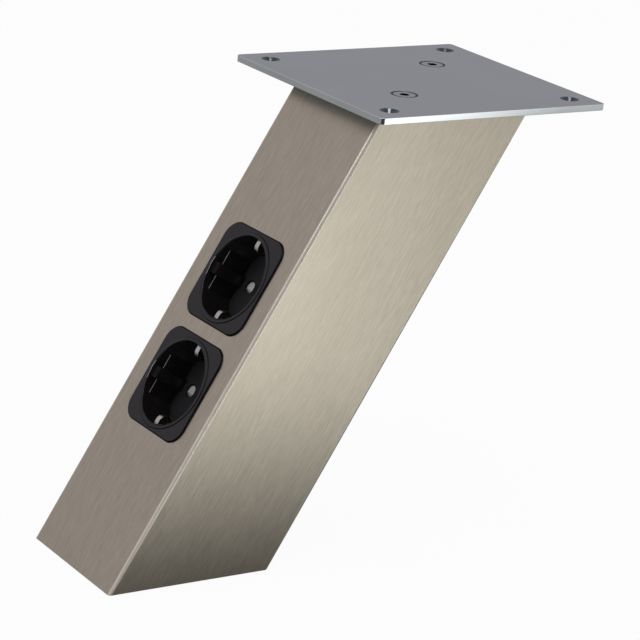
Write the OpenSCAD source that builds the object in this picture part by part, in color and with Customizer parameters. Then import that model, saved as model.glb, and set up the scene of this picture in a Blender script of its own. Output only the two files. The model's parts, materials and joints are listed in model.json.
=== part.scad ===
// Leaning counter console with two earthed sockets: a square steel post cut level at both ends,
// a square plate on top that carries a raised bar board, and two snap-in sockets in its upper face.
// Origin: centre of the foot, on the counter. +Z up, +X the way the post leans.

/* [Post] */
// Outside width of the square tube
post_w = 70; // [66:1:90]
// Thickness of the tube's wall
post_wall = 2; // [1.5:0.25:3]
// Radius of the tube's long outer edges
post_edge_r = 1.5; // [0.8:0.1:4]
// Height of the post under the top plate
post_h = 210; // [190:5:280]
// Lean of the post from upright, in degrees
lean = 30; // [20:1:35]

/* [Top plate] */
// Side of the square top plate
plate_w = 120; // [110:5:160]
// Thickness of the top plate
plate_t = 3; // [3:0.5:6]
// Radius of the plate's corners
plate_corner_r = 2; // [1:0.5:6]
// Distance of the four corner holes from the plate's edges
plate_hole_inset = 11.5; // [9:0.5:16]
// Diameter of the corner holes
plate_hole_d = 5; // [4:0.5:6]
// Diameter of the corner countersinks
plate_sink_d = 8.6; // [7.6:0.2:9.6]
// Distance of each of the two plate screws from the middle, along both sides
plate_screw_at = 24.25; // [18:0.25:26]
// Thickness of the anchor welded into the top end of the tube
anchor_t = 10; // [8:1:14]

/* [Foot] */
// Thickness of the plate welded into the foot of the tube
foot_t = 8; // [6:1:12]
// Distance between the two tapped fixing holes in the foot
foot_hole_spacing = 44; // [36:1:50]
// Core diameter of the tapped fixing holes
foot_hole_d = 6.8; // [5:0.1:8.5]
// Bore of the rubber grommet that the supply cable passes
grommet_bore_d = 10; // [7:0.5:12]
// Waist diameter of the grommet
grommet_waist_d = 16; // [15:0.5:20]
// Flange diameter of the grommet
grommet_flange_d = 21; // [19:0.5:24]
// Flange thickness of the grommet
grommet_flange_t = 1.8; // [1.2:0.2:2.4]

/* [Socket face] */
// Place of the lower socket's centre along the post, from the middle of its foot
socket_low_at = 72.6; // [70:0.2:90]
// Distance between the two socket centres
socket_pitch = 53.5; // [50:0.5:60]
// Side of the square flange
flange_w = 47.2; // [46.6:0.2:49]
// Radius of the flange's corners
flange_corner_r = 8.4; // [7:0.2:9]
// Thickness of the flange
flange_t = 0.9; // [0.8:0.1:2]
// Bevel round the flange's outer edge
flange_bevel = 0.6; // [0.4:0.1:0.8]
// Width of the raised collar round the recess
collar_w = 2; // [1:0.1:2.2]
// Height of the collar over the flange
collar_h = 0.4; // [0.3:0.1:1]
// Diameter of the round recess
recess_d = 40; // [39.2:0.2:40.6]
// Depth of the recess below the collar
recess_depth = 17.5; // [17:0.1:19]
// Distance of the flats at the sides of the recess from its centre
flat_reach = 17.3; // [16.8:0.1:18.4]
// Depth of the flats' upper ends below the collar
flat_drop = 3.8; // [3:0.2:7]
// Distance of the guide ribs from the centre of the recess
rib_reach = 15.4; // [15:0.1:16.4]
// Width of the guide ribs
rib_w = 5.4; // [4:0.2:6]
// Distance between the two pin holes
pin_spacing = 19; // [18.8:0.1:19.2]
// Diameter of the pin holes
pin_hole_d = 5.5; // [5.1:0.1:5.8]
// Thickness of the floor in front of the shutter
floor_t = 0.8; // [0.6:0.1:1.2]

/* [Socket body] */
// Side of the square body behind the flange
body_w = 44; // [43.6:0.1:45]
// Radius of the body's corners
body_corner_r = 6; // [4:0.5:8]
// Room between the body and the cut-out in the tube
body_room = 0.3; // [0.2:0.05:0.5]
// How far the snap tabs stand out of the body
tab_out = 1; // [0.7:0.1:1.4]
// Length of each snap tab along the post
tab_w = 7; // [5:0.5:9]
// Thickness of the base that holds the contacts
base_t = 13.5; // [13:0.5:18]

/* [Shutter] */
// Travel of the shutter from closed to open
shutter_travel = 5.6; // [5.4:0.1:6]
// Thickness of the shutter
shutter_t = 2.4; // [2:0.1:3]
// Room between the shutter and its chamber
shutter_room = 0.2; // [0.15:0.05:0.3]
// Outside diameter of the shutter's spring
spring_d = 2.2; // [1.8:0.1:2.2]
// Wire diameter of the shutter's spring
spring_wire = 0.35; // [0.25:0.05:0.4]
// Number of curls of the shutter's spring
spring_turns = 7; // [5:1:8]

/* [Contacts] */
// Inside diameter of the pin sleeves
sleeve_bore_d = 4.7; // [4.5:0.1:4.8]
// Wall of the pin sleeves
sleeve_wall = 0.9; // [0.6:0.1:1.1]
// Thickness of the earth strap
strap_t = 0.6; // [0.5:0.1:0.8]
// Width of the earth strap
strap_w = 6; // [4:0.2:6.4]
// How far the strap's two spring bows reach into the recess
bow_reach = 5.7; // [5:0.1:6]
// Radius of each spring bow, to the middle of its strip
bow_r = 3.2; // [2.8:0.1:3.6]
// Width of each spring bow
bow_w = 2.8; // [2.4:0.1:4]

/* [Wiring] */
// Diameter of the insulated wires
wire_d = 2.8; // [2.2:0.1:3]
// Diameter of the bare copper
core_d = 1.4; // [1.1:0.1:1.8]
// Radius of the wires' bends, to the middle of the wire
wire_bend_r = 7; // [5:0.5:8]
// Distance of the bonding stud below the lower socket's centre
stud_drop = 33; // [31:1:37]

/* [Hidden] */
$fn = 64;

// Clearance between welded-in plates and the tube
weld_gap = 0.2;
// Clearance round pieces that sit in a moulded pocket
seat_gap = 0.15;
// Clearance round a screw's thread
thread_gap = 0.05;
// Clearance round and under a screw's head
head_gap = 0.1;
// Room round a wire in its hole
wire_gap = 0.3;
// Overlap of a cutting shape past the face that it cuts
cut = 1;

// Post
inner_w = post_w - 2 * post_wall;
inner_edge_r = max(post_edge_r - post_wall, 0.5);
post_length = post_h / cos(lean);
top_x = post_h * tan(lean);
overshoot = post_w;
socket_high_at = socket_low_at + socket_pitch;

// Plate screws, metric 6 with a countersunk head and a hexagon socket
screw_d = 6;
screw_head_d = 12;
screw_core_d = 5;
screw_hex = 4;
screw_hex_deep = 2.2;
screw_length = 12;
screw_hole_d = 6.4;
screw_sunk = 0.1;

// Socket levels, measured out of the tube's face
rim_z = flange_t + collar_h;
floor_z = rim_z - recess_depth;
flat_top_z = rim_z - flat_drop;
shutter_front_z = floor_z - floor_t - shutter_room;
housing_back_z = shutter_front_z - shutter_t - shutter_room;
base_back_z = housing_back_z - base_t;
recess_r = recess_d / 2;
pin_y = pin_spacing / 2;

// Shutter and its chamber, measured up the post from the socket's centre
shutter_hole_d = pin_hole_d + 0.3;
shutter_margin = 1.2;
ramp = 1.6;
ramp_deep = shutter_t + shutter_room;
shutter_low = -shutter_travel - shutter_hole_d / 2 - shutter_margin;
shutter_high = pin_hole_d / 2 + shutter_margin;
shutter_side = pin_y + shutter_hole_d / 2 + shutter_margin;
seat_length = 1.6;
spring_seat = shutter_high + seat_length;
spring_rest = 10.6;
spring_gap = 0.5;
chamber_high = spring_seat + spring_rest;
spring_peg_d = 1;
spring_peg_l = 2;
spring_pitch = (spring_rest - spring_wire) / spring_turns;
spring_steps = 10;
spring_sides = 6;

// Details of the moulded housing
pin_sink = 0.4;
collar_root = 0.4;
collar_bevel = 0.3;
pocket_roof = 2;
tab_at = body_w / 4;
tab_h = 5;
tab_nose = 0.4;
tab_slit = 0.8;

// Contacts
sleeve_r = sleeve_bore_d / 2 + sleeve_wall;
sleeve_length = 10;
sleeve_floor = 1;
sleeve_mouth = 0.6;
sleeve_slit = 0.7;
sleeve_front_z = housing_back_z - 1.2;
clamp_w = 6.6;
clamp_l = 8;
clamp_roof = 1;
clamp_front_z = sleeve_front_z - 2.4;
clamp_in = pin_y + sleeve_r - 0.4;
clamp_out = body_w / 2 - 2.4;
clamp_wire_y = clamp_out - 5.25;
clamp_screw_z = clamp_front_z - clamp_l / 2;
clamp_screw_d = 3;
clamp_head_d = 5;
clamp_head_t = 1.6;
pocket_floor = 1.2;
driver_gap = 0.4;

// Earth strap
channel_deep = 2.4;
channel_out = body_w / 2 - 0.8;
channel_in = min(recess_r - channel_deep / 2, channel_out - channel_deep);
leg_x = channel_out - seat_gap - strap_t / 2;
channel_w = strap_w + 0.6;
window_drop = 2.3;
window_top_z = rim_z - window_drop;
bow_gap = 0.4;
bow_outer_r = bow_r + strap_t / 2;
bow_mid_z = window_top_z - bow_gap - bow_outer_r;
bow_x = recess_r - bow_reach + bow_outer_r;
block_w = 8;
block_t = 7.4;
block_lap = 0.1;
strap_back_z = base_back_z - thread_gap - strap_t;
block_wire_deep = 3.2;
block_wire_z = strap_back_z - block_wire_deep;

// Base and its screws, on one diagonal of the body
base_gap = 0.3;
corner_at = body_w / 2 - 4.6;
base_screw_d = 2.9;
base_screw_head_d = 5.2;
base_screw_head_t = 1.8;
base_screw_bite = 9;
base_screw_sunk = 0.3;
corner_pocket_d = 5.6;

// Wiring
strip_gap = 0.5;
link_drop = 4.5;
link_z = base_back_z - link_drop - wire_bend_r;
rear_wall_z = -(post_w - post_wall);
lug_t = 0.8;
lug_d = 8;
lug_barrel_l = 5;
lug_barrel_d = 3.8;
lug_neck = 1;
stud_d = 4;
stud_gap = 0.2;
stud_length = 11;
nut_w = 7;
nut_t = 3.2;
washer_d = 9;
washer_t = 0.8;
lug_z = rear_wall_z + head_gap;
bond_wire_z = lug_z + lug_barrel_d / 2;

// Places

// z runs up the post, and -x faces out of its socket face
module along_post() {
    rotate([0, lean, 0]) children();
}

// z stands out of the socket face, x runs up the post, y runs across it
module at_socket(along) {
    along_post() translate([-post_w / 2, 0, along]) rotate([0, -90, 0]) children();
}

module at_corners(at) {
    for (x = [-at, at], y = [-at, at]) translate([x, y, 0]) children();
}

module on_top() {
    translate([top_x, 0, post_h]) children();
}

module at_plate_screws() {
    for (s = [-1, 1]) translate([s * plate_screw_at, s * plate_screw_at, 0]) children();
}

module at_foot_holes() {
    for (s = [-1, 1]) translate([0, s * foot_hole_spacing / 2, 0]) children();
}

// The two screws of a base, on a diagonal
module at_base_screws() {
    for (s = [-1, 1]) translate([s * corner_at, -s * corner_at, 0]) children();
}

// Shapes

// Block with a square outline and round upright edges, standing on z = 0
module rounded_block(w, r, h) {
    translate([-w / 2, -w / 2 + r, 0]) cube([w, w - 2 * r, h]);
    translate([-w / 2 + r, -w / 2, 0]) cube([w - 2 * r, w, h]);
    at_corners(w / 2 - r) cylinder(r = r, h = h);
}

// Slab of the same outline, bevelled round its upper edge
module bevelled_slab(w, r, h, bevel) {
    side = w / 2;
    profile = [
        [-side, 0], [side, 0], [side, h - bevel], [side - bevel, h], [bevel - side, h], [-side, h - bevel]
    ];
    for (turn = [0, 90])
        rotate([0, 0, turn]) translate([0, w / 2 - r, 0]) rotate([90, 0, 0])
            linear_extrude(w - 2 * r) polygon(profile);
    at_corners(w / 2 - r) {
        cylinder(r = r, h = h - bevel);
        translate([0, 0, h - bevel]) cylinder(r1 = r, r2 = r - bevel, h = bevel);
    }
}

// Square prism along the post, w wide, cut level between two heights
module leaning_prism(w, r, low, high) {
    reach = overshoot + post_w;
    intersection() {
        along_post() translate([0, 0, -overshoot]) rounded_block(w, r, post_length + 2 * overshoot);
        translate([-reach, -reach, low]) cube([top_x + 2 * reach, 2 * reach, high - low]);
    }
}

// Countersunk hole from z = 0 downwards
module sunk_hole(hole_d, sink_d, deep) {
    translate([0, 0, -deep - cut]) cylinder(d = hole_d, h = deep + 2 * cut);
    sink = (sink_d - hole_d) / 2;
    translate([0, 0, -sink]) cylinder(d1 = hole_d, d2 = sink_d, h = sink);
    cylinder(d = sink_d, h = cut);
}

// Countersunk screw with a hexagon socket, its head's top at z = 0
module sunk_screw() {
    head_h = (screw_head_d - screw_d) / 2;
    difference() {
        union() {
            translate([0, 0, -head_h]) cylinder(d1 = screw_d, d2 = screw_head_d, h = head_h);
            translate([0, 0, -screw_length])
                cylinder(d = screw_core_d - 2 * thread_gap, h = screw_length - head_h);
        }
        translate([0, 0, -screw_hex_deep])
            cylinder(d = screw_hex / cos(30), h = screw_hex_deep + cut, $fn = 6);
    }
}

// Slotted screw, its head's underside at z = 0 and its shank below
module slotted_screw(d, length, head_d, head_t) {
    slot_w = 0.7;
    difference() {
        union() {
            cylinder(d = head_d, h = head_t);
            translate([0, 0, -length]) cylinder(d = d, h = length);
        }
        translate([-head_d / 2 - cut, -slot_w / 2, head_t / 2]) cube([head_d + 2 * cut, slot_w, head_t]);
    }
}

// A quarter ring of wire in the x-z plane from [0, 0], heading -z at first and then -x
module wire_bend(d) {
    translate([-wire_bend_r, 0, 0]) rotate([90, 0, 0])
        rotate([0, 0, -90]) rotate_extrude(angle = 90) translate([wire_bend_r, 0]) circle(d = d);
}

// Straight wire that runs from a point towards -x
module wire_down(from, length, d) {
    translate(from) rotate([0, -90, 0]) cylinder(d = d, h = length);
}

// Straight wire that runs from a point towards -z
module wire_back(from, length, d) {
    translate(from) rotate([180, 0, 0]) cylinder(d = d, h = length);
}

// Post and plates

module post_tube() {
    cut_out = body_w + 2 * body_room;
    color("silver") difference() {
        leaning_prism(post_w, post_edge_r, 0, post_h);
        leaning_prism(inner_w, inner_edge_r, -cut, post_h + cut);
        for (along = [socket_low_at, socket_high_at])
            at_socket(along) translate([0, 0, -post_wall - cut])
                rounded_block(cut_out, body_corner_r + body_room, post_wall + 2 * cut);
    }
}

module top_anchor() {
    plug_w = inner_w - 2 * weld_gap;
    color("gray") difference() {
        leaning_prism(plug_w, inner_edge_r, post_h - anchor_t, post_h);
        on_top() at_plate_screws() sunk_hole(screw_core_d, screw_hole_d, anchor_t);
    }
}

module top_plate() {
    hole_at = plate_w / 2 - plate_hole_inset;
    color("lightslategray") on_top() difference() {
        rounded_block(plate_w, plate_corner_r, plate_t);
        at_corners(hole_at) translate([0, 0, plate_t]) sunk_hole(plate_hole_d, plate_sink_d, plate_t);
        at_plate_screws() translate([0, 0, plate_t])
            sunk_hole(screw_hole_d, screw_head_d + 2 * head_gap, plate_t);
    }
}

module plate_screws() {
    color("silver") on_top() at_plate_screws()
        translate([0, 0, plate_t - screw_sunk]) sunk_screw();
}

module foot_plate() {
    plug_w = inner_w - 2 * weld_gap;
    color("gray") difference() {
        leaning_prism(plug_w, inner_edge_r, 0, foot_t);
        at_foot_holes() translate([0, 0, -cut]) cylinder(d = foot_hole_d, h = foot_t + 2 * cut);
        translate([0, 0, -cut]) cylinder(d = grommet_waist_d + 2 * seat_gap, h = foot_t + 2 * cut);
        translate([0, 0, -cut])
            cylinder(d = grommet_flange_d + 2 * seat_gap, h = grommet_flange_t + seat_gap + cut);
    }
}

module cable_grommet() {
    lip = grommet_flange_t;
    waist_top = foot_t + seat_gap;
    color("black") rotate_extrude() polygon([
        [grommet_bore_d / 2, 0], [grommet_flange_d / 2, 0], [grommet_flange_d / 2, lip],
        [grommet_waist_d / 2, lip], [grommet_waist_d / 2, waist_top], [grommet_flange_d / 2, waist_top],
        [grommet_flange_d / 2 - lip / 2, waist_top + lip], [grommet_bore_d / 2, waist_top + lip]
    ]);
}

// Socket housing

// Flats with a guide rib, at the two sides of the recess
module guides() {
    difference() {
        union() {
            for (s = [-1, 1]) {
                translate([-recess_r, s > 0 ? flat_reach : -recess_r, floor_z])
                    cube([recess_d, recess_r - flat_reach, flat_top_z - floor_z]);
                translate([-rib_w / 2, s > 0 ? rib_reach : -recess_r, floor_z])
                    cube([rib_w, recess_r - rib_reach, -floor_z]);
            }
        }
        translate([0, 0, floor_z - cut]) difference() {
            cylinder(r = 2 * recess_r, h = recess_depth + 2 * cut);
            translate([0, 0, -cut]) cylinder(r = recess_r + cut / 2, h = recess_depth + 4 * cut);
        }
    }
}

// Wedges behind the tube's wall, with slits beside them that let them bend
module snap_tabs() {
    side = body_w / 2;
    catch_z = -post_wall - seat_gap;
    wedge = [
        [side - cut, catch_z], [side + tab_out, catch_z - tab_nose],
        [side, catch_z - tab_h], [side - cut, catch_z - tab_h]
    ];
    for (s = [0, 180], x = [-1, 1])
        rotate([0, 0, s]) translate([x * tab_at - tab_w / 2, 0, 0])
            rotate([90, 0, 90]) linear_extrude(tab_w) polygon(wedge);
}

module tab_slits() {
    deep = -housing_back_z - post_wall;
    for (s = [0, 180], x = [-1, 1], edge = [-1, 1])
        rotate([0, 0, s])
            translate([x * tab_at + edge * (tab_w + tab_slit) / 2 - tab_slit / 2, body_w / 2 - tab_slit,
                       housing_back_z - cut])
                cube([tab_slit, tab_slit + cut, deep + cut]);
}

module housing() {
    body_deep = -housing_back_z;
    collar_r = recess_r + collar_w;
    color([0.17, 0.16, 0.18]) difference() {
        union() {
            bevelled_slab(flange_w, flange_corner_r, flange_t, flange_bevel);
            translate([0, 0, -body_deep]) rounded_block(body_w, body_corner_r, body_deep + flange_t / 2);
            rotate_extrude() polygon([
                [recess_r - cut, 0], [collar_r + collar_root, 0], [collar_r + collar_root, flange_t],
                [collar_r, flange_t], [collar_r - collar_bevel, rim_z], [recess_r - cut, rim_z]
            ]);
            snap_tabs();
        }
        difference() {
            translate([0, 0, floor_z]) cylinder(r = recess_r, h = recess_depth + cut, $fn = 96);
            guides();
        }
        for (s = [-1, 1]) translate([0, s * pin_y, floor_z - floor_t - cut]) {
            cylinder(d = pin_hole_d, h = floor_t + 2 * cut);
            translate([0, 0, floor_t + cut - pin_sink])
                cylinder(d1 = pin_hole_d, d2 = pin_hole_d + 4 * pin_sink, h = 2 * pin_sink);
        }
        shutter_chamber();
        strap_channels(housing_back_z - cut, window_top_z);
        at_base_screws() translate([0, 0, housing_back_z - cut])
            cylinder(d = base_screw_d + 2 * thread_gap, h = base_screw_bite + cut);
        mirror([0, 1, 0]) at_base_screws() translate([0, 0, housing_back_z - cut])
            cylinder(d = corner_pocket_d, h = body_deep - post_wall - pocket_roof + cut);
        tab_slits();
    }
}

// Slots that hold the legs of the earth strap and open its windows in the recess wall
module strap_channels(low, high) {
    for (s = [0, 180]) rotate([0, 0, s]) translate([channel_in, -channel_w / 2, low])
        cube([channel_out - channel_in, channel_w, high - low]);
}

module shutter_chamber() {
    low = shutter_low - shutter_room;
    side = shutter_side + shutter_room;
    guide = spring_d / 2 + spring_gap;
    deep = shutter_t + 2 * shutter_room;
    translate([low, -side, housing_back_z - cut])
        cube([shutter_high + shutter_travel + seat_length + shutter_room - low, 2 * side, deep + cut]);
    translate([0, -guide, housing_back_z - cut]) cube([chamber_high, 2 * guide, deep + cut]);
}

// Shutter that slides up the post when two pins press on its ramps
module shutter() {
    ramp_edge = -shutter_travel + shutter_hole_d / 2;
    color("white") difference() {
        union() {
            translate([shutter_low, -shutter_side, shutter_front_z - shutter_t])
                cube([shutter_high - shutter_low, 2 * shutter_side, shutter_t]);
            translate([shutter_high - cut, -spring_d, shutter_front_z - shutter_t])
                cube([seat_length + cut, 2 * spring_d, shutter_t]);
            translate([spring_seat - cut, 0, shutter_front_z - shutter_t / 2])
                rotate([0, 90, 0]) cylinder(d = spring_peg_d, h = spring_peg_l + cut);
        }
        for (s = [-1, 1]) translate([0, s * pin_y, 0]) {
            translate([-shutter_travel, 0, shutter_front_z - shutter_t - cut])
                cylinder(d = shutter_hole_d, h = shutter_t + 2 * cut);
            translate([ramp_edge - ramp, shutter_hole_d / 2, shutter_front_z])
                rotate([90, 0, 0]) linear_extrude(shutter_hole_d)
                    polygon([[0, cut], [2 * ramp, cut], [2 * ramp, 0], [0, -ramp_deep]]);
        }
    }
}

// Ring of points round the wire of the spring, at one step along it
function spring_ring(step) =
    let (turn = 360 * step / spring_steps,
         coil_r = (spring_d - spring_wire) / 2,
         rise = spring_wire / 2 + spring_pitch * step / spring_steps)
    [for (i = [0 : spring_sides - 1])
        let (a = 360 * i / spring_sides,
             r = coil_r + spring_wire / 2 * cos(a))
        [r * cos(turn), r * sin(turn), rise + spring_wire / 2 * sin(a)]];

// Compression spring between the shutter's seat and the end of the chamber
module shutter_spring() {
    steps = spring_turns * spring_steps;
    points = [for (k = [0 : steps]) each spring_ring(k)];
    first = [[for (i = [0 : spring_sides - 1]) i]];
    last = [[for (i = [spring_sides - 1 : -1 : 0]) steps * spring_sides + i]];
    sides = [for (k = [0 : steps - 1], i = [0 : spring_sides - 1])
        let (a = k * spring_sides + i,
             b = k * spring_sides + (i + 1) % spring_sides)
        each [[a, a + spring_sides, b], [b, a + spring_sides, b + spring_sides]]];
    color("silver") translate([spring_seat, 0, shutter_front_z - shutter_t / 2]) rotate([0, 90, 0])
        polyhedron(points, concat(first, last, sides), convexity = 8);
}

// Socket base and contacts

// Base that closes the socket's back, with pockets for the contacts
module base() {
    sleeve_pocket_r = sleeve_r + seat_gap;
    head_seat = base_screw_head_t + base_screw_sunk + head_gap;
    color([0.12, 0.12, 0.13]) difference() {
        translate([0, 0, base_back_z]) rounded_block(body_w - 2 * base_gap, body_corner_r, base_t);
        for (s = [0, 180]) rotate([0, 0, s]) {
            translate([0, pin_y, base_back_z + pocket_floor])
                cylinder(r = sleeve_pocket_r, h = base_t);
            translate([-clamp_w / 2 - seat_gap, pin_y, clamp_front_z - clamp_l - seat_gap])
                cube([clamp_w + 2 * seat_gap, clamp_out + seat_gap - pin_y, base_t]);
            translate([0, clamp_wire_y, base_back_z - cut])
                cylinder(d = wire_d + 2 * wire_gap, h = base_t);
            translate([0, clamp_out - cut, clamp_screw_z]) rotate([-90, 0, 0])
                cylinder(d = clamp_head_d + 2 * driver_gap, h = body_w);
        }
        strap_channels(base_back_z - cut, housing_back_z + cut);
        at_base_screws() translate([0, 0, base_back_z - cut]) {
            cylinder(d = base_screw_d + 2 * base_gap, h = base_t + 2 * cut);
            cylinder(d = base_screw_head_d + 2 * base_gap, h = head_seat + cut);
        }
        mirror([0, 1, 0]) at_base_screws() translate([0, 0, base_back_z + pocket_floor])
            cylinder(d = corner_pocket_d, h = base_t);
    }
}

// Slotted sleeve for one pin, with its terminal clamp, on the +y side
module contact() {
    color("goldenrod") difference() {
        union() {
            translate([0, pin_y, sleeve_front_z - sleeve_length]) cylinder(r = sleeve_r, h = sleeve_length);
            translate([-clamp_w / 2, clamp_in, clamp_front_z - clamp_l])
                cube([clamp_w, clamp_out - clamp_in, clamp_l]);
        }
        translate([0, pin_y, sleeve_front_z - sleeve_length + sleeve_floor])
            cylinder(d = sleeve_bore_d, h = sleeve_length);
        translate([0, pin_y, sleeve_front_z - sleeve_mouth])
            cylinder(d1 = sleeve_bore_d, d2 = sleeve_bore_d + 4 * sleeve_mouth, h = 2 * sleeve_mouth);
        translate([-body_w / 2, pin_y - sleeve_slit / 2, sleeve_front_z - sleeve_length * 0.7])
            cube([body_w, sleeve_slit, sleeve_length]);
        translate([0, clamp_wire_y, clamp_front_z - clamp_l - cut])
            cylinder(d = core_d + 2 * wire_gap, h = clamp_l - clamp_roof + cut);
        translate([0, clamp_wire_y, clamp_screw_z]) rotate([-90, 0, 0])
            cylinder(d = clamp_screw_d, h = clamp_out);
    }
}

// Strap that earths a plug at both ends of the recess, with its terminal block at the back
module earth_strap() {
    half = strap_w / 2;
    color("silver") {
        for (s = [0, 180]) rotate([0, 0, s]) strap_arm();
        translate([-leg_x, -half, strap_back_z]) cube([2 * leg_x, strap_w, strap_t]);
        difference() {
            translate([-block_w / 2, -block_w / 2, strap_back_z - block_t])
                cube([block_w, block_w, block_t + block_lap]);
            translate([-block_w, 0, block_wire_z]) rotate([0, 90, 0])
                cylinder(d = core_d + 2 * wire_gap, h = 2 * block_w);
            translate([0, 0, strap_back_z - block_t - cut])
                cylinder(d = clamp_screw_d, h = block_t - block_wire_deep + cut);
        }
    }
}

// Leg and spring bow of the strap, on the side up the post
module strap_arm() {
    leg_out = leg_x + strap_t / 2;
    leg_top_z = bow_mid_z - bow_r + strap_t / 2;
    translate([leg_x - strap_t / 2, -strap_w / 2, strap_back_z])
        cube([strap_t, strap_w, leg_top_z - strap_back_z]);
    for (s = [-1, 1]) translate([bow_x, -bow_w / 2, bow_mid_z + s * bow_r - strap_t / 2])
        cube([leg_out - bow_x, bow_w, strap_t]);
    translate([bow_x, bow_w / 2, bow_mid_z]) rotate([90, 0, 0]) difference() {
        cylinder(r = bow_outer_r, h = bow_w);
        translate([0, 0, -cut]) cylinder(r = bow_r - strap_t / 2, h = bow_w + 2 * cut);
        translate([0, -2 * bow_r, -cut]) cube([2 * bow_r, 4 * bow_r, bow_w + 2 * cut]);
    }
}

// Screws of the live, neutral and earth terminals
module terminal_screws() {
    shank_d = clamp_screw_d - 2 * thread_gap;
    clamp_grip = clamp_out - clamp_wire_y - core_d / 2;
    block_grip = block_t - block_wire_deep - core_d / 2;
    color("silver") {
        for (s = [0, 180]) rotate([0, 0, s]) translate([0, clamp_out + head_gap, clamp_screw_z])
            rotate([-90, 0, 0]) slotted_screw(shank_d, clamp_grip, clamp_head_d, clamp_head_t);
        translate([0, 0, strap_back_z - block_t - head_gap]) rotate([180, 0, 0])
            slotted_screw(shank_d, block_grip, clamp_head_d, clamp_head_t);
    }
}

module base_screws() {
    head_z = base_back_z + base_screw_head_t + base_screw_sunk;
    shank = base_t - base_screw_head_t + base_screw_bite - base_screw_d / 2;
    color("silver") at_base_screws() translate([0, 0, head_z]) rotate([180, 0, 0])
        slotted_screw(base_screw_d, shank, base_screw_head_d, base_screw_head_t);
}

// The two sockets

module upper_socket_housing() { at_socket(socket_high_at) housing(); }
module upper_shutter() { at_socket(socket_high_at) shutter(); }
module upper_shutter_spring() { at_socket(socket_high_at) shutter_spring(); }
module upper_socket_base() { at_socket(socket_high_at) base(); }
module upper_live_contact() { at_socket(socket_high_at) contact(); }
module upper_neutral_contact() { at_socket(socket_high_at) rotate([0, 0, 180]) contact(); }
module upper_earth_strap() { at_socket(socket_high_at) earth_strap(); }
module upper_terminal_screws() { at_socket(socket_high_at) terminal_screws(); }
module upper_base_screws() { at_socket(socket_high_at) base_screws(); }

module lower_socket_housing() { at_socket(socket_low_at) housing(); }
module lower_shutter() { at_socket(socket_low_at) shutter(); }
module lower_shutter_spring() { at_socket(socket_low_at) shutter_spring(); }
module lower_socket_base() { at_socket(socket_low_at) base(); }
module lower_live_contact() { at_socket(socket_low_at) contact(); }
module lower_neutral_contact() { at_socket(socket_low_at) rotate([0, 0, 180]) contact(); }
module lower_earth_strap() { at_socket(socket_low_at) earth_strap(); }
module lower_terminal_screws() { at_socket(socket_low_at) terminal_screws(); }
module lower_base_screws() { at_socket(socket_low_at) base_screws(); }

// Wiring

// Wire between the same terminals of both sockets, at one distance across the post
module socket_link(across) {
    bare = 5;
    start_z = base_back_z - strip_gap;
    down = start_z - link_z - wire_bend_r;
    at_socket(socket_high_at) translate([0, across, 0]) {
        wire_back([0, 0, start_z + bare], bare + down, core_d);
        wire_back([0, 0, start_z], down, wire_d);
        translate([0, 0, link_z + wire_bend_r]) wire_bend(wire_d);
        wire_down([-wire_bend_r, 0, link_z], socket_pitch - 2 * wire_bend_r, wire_d);
        translate([-socket_pitch, 0, 0]) mirror([1, 0, 0]) {
            wire_back([0, 0, start_z + bare], bare + down, core_d);
            wire_back([0, 0, start_z], down, wire_d);
            translate([0, 0, link_z + wire_bend_r]) wire_bend(wire_d);
        }
    }
}

module live_link() { color("saddlebrown") socket_link(clamp_wire_y); }

module neutral_link() { color("royalblue") socket_link(-clamp_wire_y); }

module earth_link() {
    bare = 4;
    from_x = -block_w / 2 - strip_gap;
    run = socket_pitch - block_w - 2 * strip_gap;
    color("yellowgreen") at_socket(socket_high_at) {
        wire_down([from_x, 0, block_wire_z], run, wire_d);
        wire_down([from_x + bare, 0, block_wire_z], run + 2 * bare, core_d);
    }
}

// Wire from the lower earth block to the lug on the tube's rear wall
module bond_lead() {
    bare = 4;
    from_x = -block_w / 2 - strip_gap;
    barrel_x = -stud_drop + lug_d / 2 + lug_barrel_l + lug_neck;
    turn_x = barrel_x + lug_neck + wire_bend_r;
    drop_from = block_wire_z - wire_bend_r;
    drop_to = bond_wire_z + wire_bend_r;
    color("yellowgreen") at_socket(socket_low_at) {
        wire_down([from_x + bare, 0, block_wire_z], bare, core_d);
        wire_down([from_x, 0, block_wire_z], from_x - turn_x - wire_bend_r, wire_d);
        translate([turn_x, 0, drop_from]) rotate([0, 180, 0]) wire_bend(wire_d);
        wire_back([turn_x, 0, drop_from], drop_from - drop_to, wire_d);
        translate([turn_x, 0, drop_to]) wire_bend(wire_d);
        wire_down([turn_x - wire_bend_r, 0, bond_wire_z], 2 * lug_neck, wire_d);
        wire_down([barrel_x, 0, bond_wire_z], lug_barrel_l, lug_barrel_d);
        translate([-stud_drop, 0, lug_z]) difference() {
            union() {
                cylinder(d = lug_d, h = lug_t);
                translate([0, -lug_barrel_d / 2, 0])
                    cube([barrel_x + stud_drop - lug_neck, lug_barrel_d, lug_t]);
            }
            translate([0, 0, -cut]) cylinder(d = stud_d + 2 * stud_gap, h = lug_t + 2 * cut);
        }
    }
}

module bond_stud() {
    color("silver") at_socket(socket_low_at) translate([-stud_drop, 0, rear_wall_z])
        cylinder(d = stud_d, h = stud_length);
}

module bond_washer() {
    washer_z = lug_z + lug_t;
    color("silver") at_socket(socket_low_at) translate([-stud_drop, 0, washer_z]) difference() {
        cylinder(d = washer_d, h = washer_t);
        translate([0, 0, -cut]) cylinder(d = stud_d + 2 * stud_gap, h = washer_t + 2 * cut);
    }
}

module bond_nut() {
    nut_z = lug_z + lug_t + washer_t;
    color("silver") at_socket(socket_low_at) translate([-stud_drop, 0, nut_z]) difference() {
        cylinder(d = nut_w / cos(30), h = nut_t, $fn = 6);
        translate([0, 0, -cut]) cylinder(d = stud_d + 2 * thread_gap, h = nut_t + 2 * cut);
    }
}

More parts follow.
